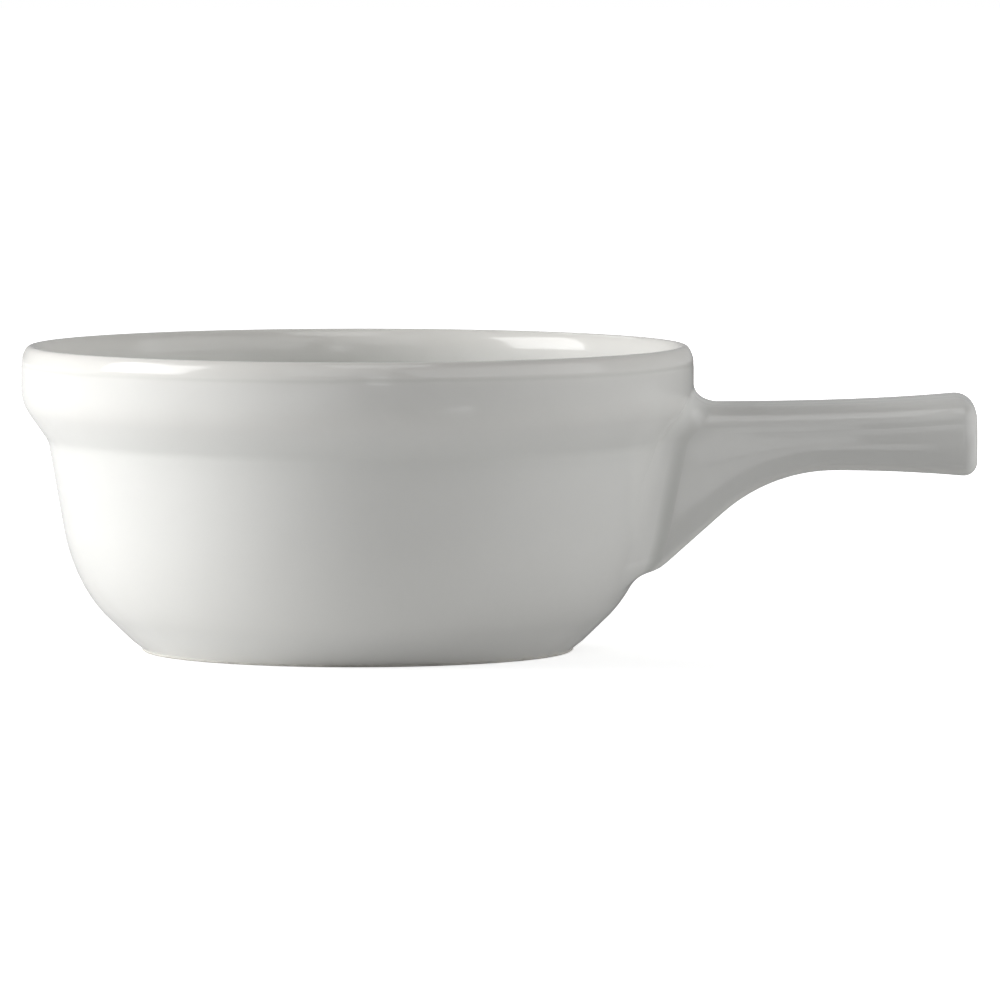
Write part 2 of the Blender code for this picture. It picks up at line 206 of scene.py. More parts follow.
def flowed(outline: np.ndarray, spread: float, spacing: float) -> np.ndarray:
    """Soften an outline as molten glaze does, by a moving average that keeps its two ends.

    Args:
        outline: evenly spaced points.
        spread: standard deviation of the average along the outline.
        spacing: the distance between points.

    Returns:
        The softened points.
    """
    reach = int(3 * spread / spacing)
    weights = np.exp(-0.5 * (np.arange(-reach, reach + 1) * spacing / spread) ** 2)
    weights /= weights.sum()
    before = 2 * outline[0] - outline[reach:0:-1]
    after = 2 * outline[-1] - outline[-2 : -reach - 2 : -1]
    padded = np.vstack([before, outline, after])
    return np.column_stack([np.convolve(padded[:, axis], weights, "valid") for axis in (0, 1)])


def curvature(outline: np.ndarray) -> np.ndarray:
    """How sharply an outline bends at each point, per metre, above zero where it bulges out."""
    run = np.gradient(outline, axis=0)
    return -np.linalg.det(np.stack([run, np.gradient(run, axis=0)], 1)) / np.hypot(*run.T) ** 3


def normals(outline: np.ndarray) -> np.ndarray:
    """Unit directions out of the solid, for points that run with it on their right hand."""
    run = np.gradient(outline, axis=0)
    return np.column_stack([-run[:, 1], run[:, 0]]) / np.linalg.norm(run, axis=1)[:, None]


def needed_points(outline: np.ndarray, turn: float, longest: float) -> np.ndarray:
    """Choose the points of a fine outline that a mesh needs.

    Args:
        outline: finely spaced points.
        turn: how far the outline may turn between two chosen points.
        longest: how far apart two chosen points may be.

    Returns:
        Numbers of the chosen points, ends included.
    """
    run = np.diff(outline, axis=0)
    headings = np.unwrap(np.arctan2(run[:, 1], run[:, 0]))
    turned = np.concatenate([[0.0], np.cumsum(np.abs(np.diff(headings))), [0.0]])
    turned[-1] = turned[-2]
    walked = np.concatenate([[0.0], np.cumsum(np.linalg.norm(run, axis=1))])
    effort = turned / turn + walked / longest
    wanted = np.linspace(0.0, effort[-1], int(math.ceil(effort[-1])) + 1)
    return np.unique(np.searchsorted(effort, wanted - 1e-9).clip(0, len(outline) - 1))


# Meshes


def skin(name: str, rings: list[np.ndarray], looped: bool = False) -> bpy.types.Mesh:
    """Join rings of points into a smooth mesh.

    Args:
        name: the mesh's name.
        rings: rings of equal length, or of one point where the skin closes.
        looped: whether the last ring joins the first one.

    Returns:
        The new mesh.
    """
    starts = np.concatenate([[0], np.cumsum([len(ring) for ring in rings])])
    faces: list[list[int]] = []
    pairs = list(zip(range(len(rings) - 1), range(1, len(rings))))
    if looped:
        pairs.append((len(rings) - 1, 0))
    for near, far in pairs:
        near_count, far_count = len(rings[near]), len(rings[far])
        count = max(near_count, far_count)
        for here in range(count):
            after = (here + 1) % count
            corners = [
                starts[near] + here % near_count,
                starts[near] + after % near_count,
                starts[far] + after % far_count,
                starts[far] + here % far_count,
            ]
            faces.append([int(corner) for corner in dict.fromkeys(corners)])
    mesh = bpy.data.meshes.new(name)
    mesh.from_pydata(np.vstack(rings).tolist(), [], faces)
    mesh.shade_smooth()
    return mesh


def add_piece(mesh: bpy.types.Mesh, node: str) -> bpy.types.Object:
    """Put a mesh into the scene as a piece that stands for a CAD node.

    Args:
        mesh: the piece's mesh, in the row's frame.
        node: the CAD node that the piece replaces.

    Returns:
        The new object.
    """
    piece = bpy.data.objects.new(mesh.name, mesh)
    bpy.context.scene.collection.objects.link(piece)
    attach(piece, BODY)
    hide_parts(node)
    return piece


def keep_coat(mesh: bpy.types.Mesh, coat: Coat, values: np.ndarray) -> None:
    """Store on each vertex how pooled or thin the glaze is, or its painted shade, from 0 to 1."""
    layer = mesh.attributes.new(coat.value, "FLOAT", "POINT")
    layer.data.foreach_set("value", np.clip(values, 0.0, 1.0).astype(np.float32))


# Finishes


def start_material(name: str) -> tuple[bpy.types.Material, bpy.types.Node, bpy.types.NodeSocket]:
    """Start a node material.

    Args:
        name: the material's name.

    Returns:
        The material, its surface shader and the place on the piece in metres.
    """
    made = bpy.data.materials.new(name)
    made.use_nodes = True
    place = add_node(made.node_tree, "ShaderNodeTexCoord").outputs["Object"]
    return made, made.node_tree.nodes["Principled BSDF"], place


@dataclass(frozen=True)
class GlazedChina:
    """Vitrified china under a clear gloss glaze, dipped and fired.

    The glaze gives clear soft-edged highlights, a faint waviness where it flowed, a slightly
    cooler tone where it pooled in hollows and a slightly warmer one where it ran thin on edges.
    The pooled tone also serves as painted shade in creases and grooves.
    """

    name: str = "vitrified_china_clear_gloss_glaze"
    white: str = "#ECECE9"
    clouded: str = "#E7E7E4"
    pooled_and_shade: str = "#E0E1DD"
    thin: str = "#EEECE7"
    ior: float = 1.52
    roughness: Pair = (0.07, 0.12)
    cloud_size: float = 30 * MILLIMETRE
    flow_size: float = 16 * MILLIMETRE
    flow_height: float = 0.030 * MILLIMETRE
    peel_size: float = 3 * MILLIMETRE
    peel_height: float = 0.004 * MILLIMETRE

    def material(self) -> bpy.types.Material:
        """Build the node material.

        Returns:
            The new material.
        """
        made, shader, place = start_material(self.name)
        tree = made.node_tree
        shader.inputs["IOR"].default_value = self.ior

        sockets = {"Scale": 1 / self.cloud_size, "Detail": 3.0, "Roughness": 0.55}
        cloud = add_node(tree, "ShaderNodeTexNoise", sockets, {"Vector": place}).outputs["Fac"]
        sockets = {"A": linear(self.white), "B": linear(self.clouded)}
        tone = add_node(tree, "ShaderNodeMix", sockets, {"Factor": cloud}, data_type="RGBA")
        for coat, colour in ((Coat.POOLED_AND_SHADE, self.pooled_and_shade), (Coat.THIN, self.thin)):
            amount = add_node(tree, "ShaderNodeAttribute", attribute_name=coat.value)
            links = {"Factor": amount.outputs["Fac"], "A": tone.outputs[2]}
            tone = add_node(tree, "ShaderNodeMix", {"B": linear(colour)}, links, data_type="RGBA")
        tree.links.new(tone.outputs[2], shader.inputs["Base Color"])

        smooth, rough = self.roughness
        sockets = {"From Min": 0.3, "From Max": 0.7, "To Min": smooth, "To Max": rough}
        gloss = add_node(tree, "ShaderNodeMapRange", sockets, {"Value": cloud})
        tree.links.new(gloss.outputs["Result"], shader.inputs["Roughness"])

        waves = ((self.flow_size, self.flow_height, 0.0), (self.peel_size, self.peel_height, 1.0))
        raised: dict[str, bpy.types.NodeSocket] = {}
        for size, height, detail in waves:
            sockets = {"Scale": 1 / size, "Detail": detail}
            wave = add_node(tree, "ShaderNodeTexNoise", sockets, {"Vector": place})
            links = {"Height": wave.outputs["Fac"], **raised}
            bump = add_node(tree, "ShaderNodeBump", {"Strength": 1.0, "Distance": height}, links)
            raised = {"Normal": bump.outputs["Normal"]}
        tree.links.new(raised["Normal"], shader.inputs["Normal"])
        return made


@dataclass(frozen=True)
class BareBisque:
    """Unglazed vitrified china, ground flat on the foot where the dish stood in the kiln.

    It is matt and a little warmer than the glaze, with a fine grit and grey scuffs from shelves.
    """

    name: str = "vitrified_china_ground_bisque"
    clay: str = "#D2D0CA"
    scuffed: str = "#B0AEA9"
    roughness: Pair = (0.65, 0.9)
    scuff_size: float = 6 * MILLIMETRE
    # Coarser than real grit of about 0.1 mm, which would be lost between pixels.
    grit_size: float = 0.35 * MILLIMETRE
    grit_height: float = 0.02 * MILLIMETRE

    def material(self) -> bpy.types.Material:
        """Build the node material.

        Returns:
            The new material.
        """
        made, shader, place = start_material(self.name)
        tree = made.node_tree
        sockets = {"Scale": 1 / self.scuff_size, "Detail": 4.0, "Roughness": 0.65}
        scuffs = add_node(tree, "ShaderNodeTexNoise", sockets, {"Vector": place}).outputs["Fac"]
        sockets = {"From Min": 0.5, "From Max": 0.75}
        worn = add_node(tree, "ShaderNodeMapRange", sockets, {"Value": scuffs}).outputs["Result"]
        sockets = {"A": linear(self.clay), "B": linear(self.scuffed)}
        tone = add_node(tree, "ShaderNodeMix", sockets, {"Factor": worn}, data_type="RGBA")
        polished, rough = self.roughness
        sockets = {"To Min": rough, "To Max": polished}
        gloss = add_node(tree, "ShaderNodeMapRange", sockets, {"Value": worn})
        sockets = {"Scale": 1 / self.grit_size, "Detail": 2.0}
        grit = add_node(tree, "ShaderNodeTexNoise", sockets, {"Vector": place}).outputs["Fac"]
        sockets = {"Strength": 1.0, "Distance": self.grit_height}
        bump = add_node(tree, "ShaderNodeBump", sockets, {"Height": grit})
        tree.links.new(tone.outputs[2], shader.inputs["Base Color"])
        tree.links.new(gloss.outputs["Result"], shader.inputs["Roughness"])
        tree.links.new(bump.outputs["Normal"], shader.inputs["Normal"])
        return made


# Pieces


@dataclass
class Bowl:
    """The turned bowl: floor, wall, rim band, lip and foot ring."""

    rim_radius: float = 0.0635
    height: float = 0.0578
    lip_thickness: float = 0.0039
    lip_crest_inset: float = 0.0018
    lip_outer_drop: float = 0.0031
    lip_edge_lean: float = math.radians(9)
    lip_inner_drop: float = 0.0050
    lip_line_depth: float = 0.00012
    lip_line_width: float = 0.0008
    lip_line_slant: float = 0.3
    # Painted shade in the groove under the lip: how sharp it is, and the least that gets a ring.
    lip_shade_sharpness: float = 2.2
    lip_shade_least: float = 0.02
    band_height: float = 0.0107
    band_corner_radius: float = 0.0085
    undercut_angle: float = math.radians(35)
    undercut_cove_radius: float = 0.0040
    inner_shoulder_radius: float = 0.0060
    wall_thickness: float = 0.0046
    wall_height: float = 0.0170
    wall_draft: float = math.radians(10)
    body_radius: float = 0.0554
    body_curve_width: float = 0.0206
    body_curve_rise: float = 0.0014
    body_curve_shoulder: float = 0.34
    body_curve_flatness: float = 0.67
    floor_thickness: float = 0.0052
    foot_radius: float = 0.0405
    foot_ring_width: float = 0.0045
    foot_edge_radius: float = 0.0008
    recess_depth: float = 0.0016
    recess_corner_radius: float = 0.0012
    bare_height: float = 0.0004
    bare_margin: float = 0.002
    glaze_step: float = 0.00008
    hidden_depth: float = 0.0003
    ring_lid: Pair = (0.0006, 0.0003)
    flow: float = 0.0003
    flow_end: float = 0.0004
    bend_spread: float = 0.002
    pooled_bend: float = 220.0
    thin_bend: float = 320.0
    spacing: float = 0.00015
    shell_steps: Pair = (math.radians(4), 0.003)
    ring_steps: Pair = (math.radians(10), 0.002)
    turn_steps: int = 288
    glaze: GlazedChina = GlazedChina()
    bisque: BareBisque = BareBisque()

    def undercut_corners(self) -> tuple[np.ndarray, np.ndarray, np.ndarray]:
        """Place the outer corners of the wall.

        Returns:
            The band's lower edge, the undercut's foot and the top of the body curve.
        """
        band_corner = np.array([self.rim_radius, self.height - self.band_height])
        foot_radius = self.body_radius + self.wall_height * math.tan(self.wall_draft)
        drop = (self.rim_radius - foot_radius) / math.tan(self.undercut_angle)
        undercut_foot = np.array([foot_radius, band_corner[1] - drop])
        body_top = np.array([self.body_radius, undercut_foot[1] - self.wall_height])
        return band_corner, undercut_foot, body_top

    def body_sweep(self, top: np.ndarray, bottom: np.ndarray) -> np.ndarray:
        """Draw the curve from the drafted wall down to the level floor.

        Args:
            top: where the wall ends.
            bottom: where the floor starts.

        Returns:
            Points of the curve, ends included.
        """
        first = top + (top[1] - bottom[1]) * self.body_curve_shoulder * along(self.wall_draft)
        last = bottom + np.array([(top[0] - bottom[0]) * self.body_curve_flatness, 0.0])
        return bezier(np.linspace(0.0, 1.0, SWEEP_POINTS)[:, None], top, first, last, bottom)

    def lip_roll(self) -> np.ndarray:
        """Draw the lip's outside, which meets the band at a slight edge.

        Returns:
            Points from the crest down to that edge, on an ellipse that still leans there.
        """
        lean = math.tan(self.lip_edge_lean) * self.lip_outer_drop / self.lip_crest_inset
        last_turn = 2 * math.atan(math.sqrt(1 - 2 * lean))
        turns = np.linspace(0.0, last_turn, CURVE_POINTS)
        out = self.lip_crest_inset * np.sin(turns) / math.sin(last_turn)
        down = self.lip_outer_drop * (1 - np.cos(turns)) / (1 - math.cos(last_turn))
        return np.column_stack([self.rim_radius - self.lip_crest_inset + out, self.height - down])

    def outside(self) -> np.ndarray:
        """Draw the outside from the lip's crest down to the foot's side.

        Returns:
            Points of the outline, down to where the body heads straight for the foot's edge.
        """
        lip = self.lip_roll()
        band_corner, undercut_foot, body_top = self.undercut_corners()
        dip = [self.lip_line_depth, self.lip_line_slant * self.lip_line_width]
        lip = np.vstack([lip, lip[-1] - np.array([dip, [0.0, self.lip_line_width]])])
        undercut = rounded_path(
            (lip[-1], 0.0),
            (band_corner, self.band_corner_radius),
            (undercut_foot, self.undercut_cove_radius),
            (body_top, 0.0),
        )
        bottom = np.array([self.body_radius - self.body_curve_width, self.body_curve_rise])
        body = self.body_sweep(body_top, bottom)
        joint = int(np.argmax((body[:, 0] - self.foot_radius) / body[:, 1]))
        return np.vstack([lip, undercut[1:], body[1 : joint + 1]])

    def inside(self) -> np.ndarray:
        """Draw the inside from the middle of the floor up to the lip's crest.

        Returns:
            Points of the outline.
        """
        _, undercut_foot, body_top = self.undercut_corners()
        floor_height = self.recess_depth + self.floor_thickness
        floor_edge = np.array([self.body_radius - self.body_curve_width, floor_height])
        wall_bottom = body_top + self.wall_thickness * inward(self.wall_draft)
        lip_inside = np.array([self.rim_radius, self.height])
        lip_inside -= np.array([self.lip_thickness, self.lip_inner_drop])
        flank = undercut_foot + self.wall_thickness * inward(self.undercut_angle)
        undercut = meet(flank, along(self.undercut_angle), wall_bottom, along(self.wall_draft))
        shoulder = meet(flank, along(self.undercut_angle), lip_inside, along(0.0))
        wall = rounded_path(
            (wall_bottom, 0.0),
            (undercut, self.undercut_cove_radius + self.wall_thickness),
            (shoulder, self.inner_shoulder_radius),
            (lip_inside, 0.0),
        )
        crest = np.array([self.rim_radius - self.lip_crest_inset, self.height])
        lip = quarter_ellipse(np.array([lip_inside[0], self.height]), lip_inside, crest)
        body = self.body_sweep(wall_bottom, floor_edge)[::-1]
        middle = np.array([[0.0, floor_height]])
        return np.vstack([middle, body, wall[1:], lip[1:]])

    def foot(self, body_end: np.ndarray) -> np.ndarray:
        """Draw the foot ring and the recessed underside, from the body curve's end to the axis.

        Args:
            body_end: the last point of the outside.

        Returns:
            Points of the outline after body_end.
        """
        ring_inside = self.foot_radius - self.foot_ring_width
        return rounded_path(
            (body_end, 0.0),
            ((self.foot_radius, 0.0), self.foot_edge_radius),
            ((ring_inside, 0.0), self.foot_edge_radius),
            ((ring_inside, self.recess_depth), self.recess_corner_radius),
            ((0.0, self.recess_depth), 0.0),
        )[1:]

    def turned(self, outline: np.ndarray) -> list[np.ndarray]:
        """Turn an outline about the bowl's axis.

        Args:
            outline: (radius, height) points.

        Returns:
            A ring of points for each of them, or one point on the axis.
        """
        turns = np.arange(self.turn_steps) * 2 * math.pi / self.turn_steps
        circle = np.column_stack([np.cos(turns), np.sin(turns), np.zeros_like(turns)])
        rings = []
        for radius, height in outline:
            steps = circle if radius > ON_AXIS else circle[:1]
            rings.append(BOWL_AXIS + radius * steps + np.array([0.0, 0.0, height]))
        return rings

    def lip_line_shade(self, outline: np.ndarray) -> np.ndarray:
        """Tell how much painted shade, in the pooled tone, lies in the fine groove under the lip.

        Args:
            outline: points of the whole outline.

        Returns:
            One value for each point, 1 in the middle of the line.
        """
        drop = (outline[:, 1] - self.height + self.lip_outer_drop) / self.lip_line_width + 0.5
        on_outside = outline[:, 0] > self.rim_radius - self.lip_crest_inset
        return np.exp(-((self.lip_shade_sharpness * drop) ** 2)) * on_outside

    def build(self) -> Pieces:
        """Build the glazed shell and the bare ring under it.

        Returns:
            The two pieces.
        """
        outside = self.outside()
        whole = np.vstack([self.inside(), outside[1:], self.foot(outside[-1])])
        fine = even_spacing(whole, self.spacing)
        upper = fine[:, 1] > self.recess_depth + self.flow_end
        last_upper = int(np.flatnonzero(upper)[-1])
        softened = flowed(fine[: last_upper + 1], self.flow, self.spacing)
        soft = np.vstack([softened, fine[last_upper + 1 :]])
        soft[[0, -1], 0] = 0.0
        bare = soft[:, 1] < self.bare_height
        bare &= soft[:, 0] > self.foot_radius - self.foot_ring_width - self.bare_margin
        outwards = normals(soft)

        line_shade = self.lip_line_shade(soft)
        needed = needed_points(soft, *self.shell_steps)
        chosen = np.union1d(needed, np.flatnonzero(line_shade > self.lip_shade_least))
        shell_outline = soft - bare[:, None] * self.hidden_depth * outwards
        rings = self.turned(shell_outline[chosen])
        mesh = skin("glazed_bowl_shell", rings)
        counts = [len(ring) for ring in rings]
        bends = flowed(np.column_stack([curvature(soft)] * 2), self.bend_spread, self.spacing)[:, 0]
        # Pooled tone in hollows, and painted shade along the groove under the lip.
        pooled_and_shade = np.maximum(line_shade, 1 - np.exp(-np.maximum(-bends, 0) / self.pooled_bend))
        thin = 1 - np.exp(-np.maximum(bends, 0) / self.thin_bend)
        keep_coat(mesh, Coat.POOLED_AND_SHADE, pooled_and_shade[chosen].repeat(counts))
        keep_coat(mesh, Coat.THIN, thin[chosen].repeat(counts))
        shell = add_piece(mesh, "bowl")

        ground = (soft - self.glaze_step * outwards)[bare]
        ground[:, 1] = np.maximum(ground[:, 1] - ground[:, 1].min(), 0.0)
        ground = ground[needed_points(ground, *self.ring_steps)]
        inset, rise = self.ring_lid
        lid = ground[[-1, 0]] + np.array([[inset, rise], [-inset, rise]])
        mesh = skin("bare_foot_ring", self.turned(np.vstack([ground, lid])), looped=True)
        ring = add_piece(mesh, "bowl")
        return [shell, ring]

    def dress(self, pieces: Pieces) -> None:
        """Give the shell its glaze and the ring its bare clay."""
        for piece, finish in zip(pieces, (self.glaze, self.bisque)):
            piece.data.materials.append(finish.material())


class WallSurface:
    """The bowl's outside as a surface that the handle and its seam are set against."""

    def __init__(self, bowl: Bowl, offset: float = 0.0) -> None:
        """Take the bowl's softened outline.

        Args:
            bowl: the bowl.
            offset: how far the surface stands off the wall.
        """
        outline = flowed(even_spacing(bowl.outside(), bowl.spacing), bowl.flow, bowl.spacing)
        self.outline = (outline + offset * normals(outline))[::-1]
        steps = np.linalg.norm(np.diff(self.outline, axis=0), axis=1)
        self.lengths = np.concatenate([[0.0], np.cumsum(steps)])

    def radius(self, heights: np.ndarray) -> np.ndarray:
        """Radius of the wall at heights."""
        return np.interp(heights, self.outline[:, 1], self.outline[:, 0])

    def points(self, turns: np.ndarray, heights: np.ndarray) -> np.ndarray:
        """Points of the wall at angles about the axis and heights."""
        radii = self.radius(heights)
        return np.column_stack([radii * np.cos(turns), radii * np.sin(turns), heights])

    def spread(self, turns: np.ndarray, heights: np.ndarray, distance: Any) -> np.ndarray:
        """Move a closed outline outwards over the wall.

        Args:
            turns: angles of its points about the axis.
            heights: heights of its points.
            distance: how far each point moves.

        Returns:
            The moved points.
        """
        radii = self.radius(heights)
        lengths = np.interp(heights, self.outline[:, 1], self.lengths)
        flat = np.column_stack([turns * radii, lengths])
        run = np.roll(flat, -1, axis=0) - np.roll(flat, 1, axis=0)
        outwards = np.column_stack([run[:, 1], -run[:, 0]]) / np.linalg.norm(run, axis=1)[:, None]
        moved = flat + np.reshape(distance, (-1, 1)) * outwards
        new_heights = np.interp(moved[:, 1], self.lengths, self.outline[:, 1])
        return self.points(moved[:, 0] / radii, new_heights)


@dataclass
class StickHandle:
    """The solid stick handle with a web under its root, cast and luted to the wall."""

    bowl: Bowl
    reach: float = 0.1167
    top_drop: float = 0.0107
    tip_rise: float = 0.0020
    neck_reach: float = 0.0900
    neck_depth: float = 0.0126
    tip_underside_drop: float = 0.0011
    web_radius: float = 0.0320
    web_slope: float = math.radians(41.5)
    web_foot_length: float = 0.0051
    web_foot_radius: float = 0.0080
    neck_width: float = 0.0200
    root_flare: float = 0.0030
    tip_flare: float = 0.0044
    top_edge_radius: float = 0.0048
    under_edge_radius: float = 0.0020
    side_crown: float = 0.0005
    end_top_radius: float = 0.0043
    end_side_radius: float = 0.0030
    end_under_radius: float = 0.0028
    least_radius: float = 0.0002
    root_depth: float = 0.0015
    top_edge_wear: float = 2.4
    under_edge_wear: float = 3.6
    edge_steps: int = 12
    side_steps: int = 48
    top_steps: int = 10
    web_rings: int = 30
    tip_rings: int = 12
    end_rings: int = 10
    cap_rings: int = 5
    halvings: int = 44
    glaze: GlazedChina = GlazedChina()

    def __post_init__(self) -> None:
        """Work out how each place round the section mixes the section's measures."""
        measures = np.eye(6)
        half, top, under, top_radius, under_radius, crown = measures
        sides: list[tuple[np.ndarray, np.ndarray]] = []
        for turn in np.linspace(-math.pi / 2, 0.0, self.edge_steps + 1):
            out, rise = math.cos(turn) - 1, math.sin(turn) + 1
            sides.append((half + out * under_radius, under + rise * under_radius))
        for share in np.linspace(0.0, 1.0, self.side_steps + 1)[1:-1]:
            level = (1 - share) * (under + under_radius) + share * (top - top_radius)
            sides.append((half + 4 * share * (1 - share) * crown, level))
        for turn in np.linspace(0.0, math.pi / 2, self.edge_steps + 1):
            out, rise = math.cos(turn) - 1, math.sin(turn) - 1
            sides.append((half + out * top_radius, top + rise * top_radius))
        crowned, flat = [], []
        for share in np.linspace(0.0, 1.0, self.top_steps + 1)[1:-1]:
            level = top + 4 * share * (1 - share) * crown
            crowned.append(((1 - 2 * share) * (half - top_radius), level))
            flat.append(((2 * share - 1) * (half - under_radius), under))
        mirrored = [(-across, up) for across, up in reversed(sides)]
        whole = [*sides, *crowned, *mirrored, *flat]
        self.across = np.array([across for across, _ in whole])
        self.up = np.array([up for _, up in whole])
        wall_inside = self.bowl.body_radius - self.bowl.wall_thickness
        self.web_foot_reach = wall_inside + self.web_foot_length

    def end_inset(self, radius: float, x: np.ndarray) -> np.ndarray:
        """How far a side draws in near the end, where its edge is rounded."""
        depth = np.clip(radius - (self.reach - x), 0.0, radius)
        return radius - np.sqrt(radius**2 - depth**2)

    def top(self, x: np.ndarray) -> np.ndarray:
        """Height of the top at distances from the axis."""
        start = self.bowl.body_radius
        climb = np.clip((x - start) / (self.reach - start), 0.0, 1.0)
        return self.bowl.height - self.top_drop + self.tip_rise * climb**3

    def web_underside(self, x: np.ndarray) -> np.ndarray:
        """Height of the underside from the neck inwards: a curve, then a straight slope."""
        run = np.clip((self.neck_reach - x) / self.web_radius, 0.0, math.sin(self.web_slope))
        turn = np.arcsin(run)
        arc_end = self.neck_reach - self.web_radius * np.sin(turn)
        neck_height = self.bowl.height - self.top_drop - self.neck_depth
        return neck_height - self.web_radius * (1 - np.cos(turn)) - (arc_end - x) * np.tan(turn)

    def underside(self, x: np.ndarray) -> np.ndarray:
        """Height of the underside, level on the web's foot and drooping towards the end."""
        tangent = self.web_foot_radius * math.tan(self.web_slope / 2)
        into_curve = np.clip(x - self.web_foot_reach + tangent, 0.0, self.web_foot_radius)
        climb = self.web_foot_radius - np.sqrt(self.web_foot_radius**2 - into_curve**2)
        foot = self.web_underside(np.full_like(x, self.web_foot_reach)) + climb
        droop = np.clip((x - self.neck_reach) / (self.reach - self.neck_reach), 0.0, 1.0)
        outer = self.web_underside(np.minimum(x, self.neck_reach))
        outer -= self.tip_underside_drop * droop**2
        on_slope = x >= self.web_foot_reach + tangent * math.cos(self.web_slope)
        return np.where(on_slope, outer, foot)

    def half_width(self, x: np.ndarray) -> np.ndarray:
        """Half of the width at distances from the axis."""
        inner = np.maximum(self.neck_reach - x, 0.0) / (self.neck_reach - self.bowl.body_radius)
        outer = np.maximum(x - self.neck_reach, 0.0) / (self.reach - self.neck_reach)
        return (self.neck_width + self.root_flare * inner**2 + self.tip_flare * outer**2) / 2

    def points(self, x: np.ndarray, grow: float = 0.0) -> np.ndarray:
        """One point of the surface for each place round the section.

        Args:
            x: each place's distance from the bowl's axis.
            grow: how far the surface stands off the handle.

        Returns:
            The points, about the bowl's axis.
        """
        side_inset = self.end_inset(self.end_side_radius, x)
        top_inset = self.end_inset(self.end_top_radius, x)
        least = self.least_radius
        measures = np.column_stack(
            [
                self.half_width(x) - side_inset - self.side_crown + grow,
                self.top(x) - top_inset - self.side_crown + grow,
                self.underside(x) + self.end_inset(self.end_under_radius, x) - grow,
                np.maximum(self.top_edge_radius - (side_inset + top_inset) / 2, least) + grow,
                np.maximum(self.under_edge_radius - side_inset / 2, least) + grow,
                np.full_like(x, self.side_crown),
            ]
        )
        across, up = ((shares * measures).sum(axis=1) for shares in (self.across, self.up))
        return np.column_stack([x, across, up])

    def facing(self) -> tuple[np.ndarray, np.ndarray]:
        """Tell which way the surface faces at each place round the neck.

        Returns:
            How far it faces across and how far it faces up, as parts of a unit direction.
        """
        ring = self.points(np.full(len(self.across), self.neck_reach))[:, 1:]
        run = np.roll(ring, -1, axis=0) - np.roll(ring, 1, axis=0)
        run /= np.linalg.norm(run, axis=1)[:, None]
        return run[:, 1], -run[:, 0]

    def root(self, wall: WallSurface, grow: float = 0.0) -> np.ndarray:
        """Find where each line along the surface meets the wall.

        Args:
            wall: the surface that it meets.
            grow: how far the lines stand off the handle.

        Returns:
            Each line's distance from the axis there.
        """
        low = np.zeros(len(self.across))
        high = np.full(len(self.across), self.neck_reach)
        for _ in range(self.halvings):
            middle = (low + high) / 2
            points = self.points(middle, grow)
            inside = np.hypot(points[:, 0], points[:, 1]) < wall.radius(points[:, 2])
            low = np.where(inside, middle, low)
            high = np.where(inside, high, middle)
        return (low + high) / 2

    def build(self) -> Pieces:
        """Build the handle from inside the wall to its end.

        Returns:
            The one piece.
        """
        root = self.root(WallSurface(self.bowl, -self.root_depth))
        back = self.points(root)
        back_middle = back.mean(axis=0)
        face = [back_middle[None, :], (back_middle + back) / 2]
        shares = np.linspace(0.0, 1.0, self.web_rings + 1)
        web = [self.points(root + share * (self.neck_reach - root)) for share in shares]
        end_radii = (self.end_top_radius, self.end_side_radius, self.end_under_radius)
        end_start = self.reach - max(end_radii)
        turns = np.linspace(0.0, math.pi / 2, self.end_rings + 1)[1:]
        reaches = [
            *np.linspace(self.neck_reach, end_start, self.tip_rings + 1)[1:],
            *(end_start + (self.reach - end_start) * np.sin(turns)),
        ]
        tip = [self.points(np.full(len(root), x)) for x in reaches]
        middle = tip[-1].mean(axis=0)
        shrinks = np.linspace(1.0, 0.0, self.cap_rings + 1)[1:-1]
        cap = [middle + shrink * (tip[-1] - middle) for shrink in shrinks]
        rings = [*face, *web, *tip, *cap, middle[None, :]]
        mesh = skin("glazed_stick_handle", [ring + BOWL_AXIS for ring in rings])
        # The mixes of the two edge radii are largest where the section's edges turn.
        top_edge, under_edge = np.abs(self.across * self.up)[:, 3:5].T
        edges = self.top_edge_wear * top_edge + self.under_edge_wear * under_edge
        worn = np.concatenate([edges if len(ring) > 1 else [0.0] for ring in rings])
        keep_coat(mesh, Coat.THIN, worn)
        keep_coat(mesh, Coat.POOLED_AND_SHADE, np.zeros(len(worn)))
        return [add_piece(mesh, "handle")]

    def dress(self, pieces: Pieces) -> None:
        """Give the handle its glaze."""
        pieces[0].data.materials.append(self.glaze.material())


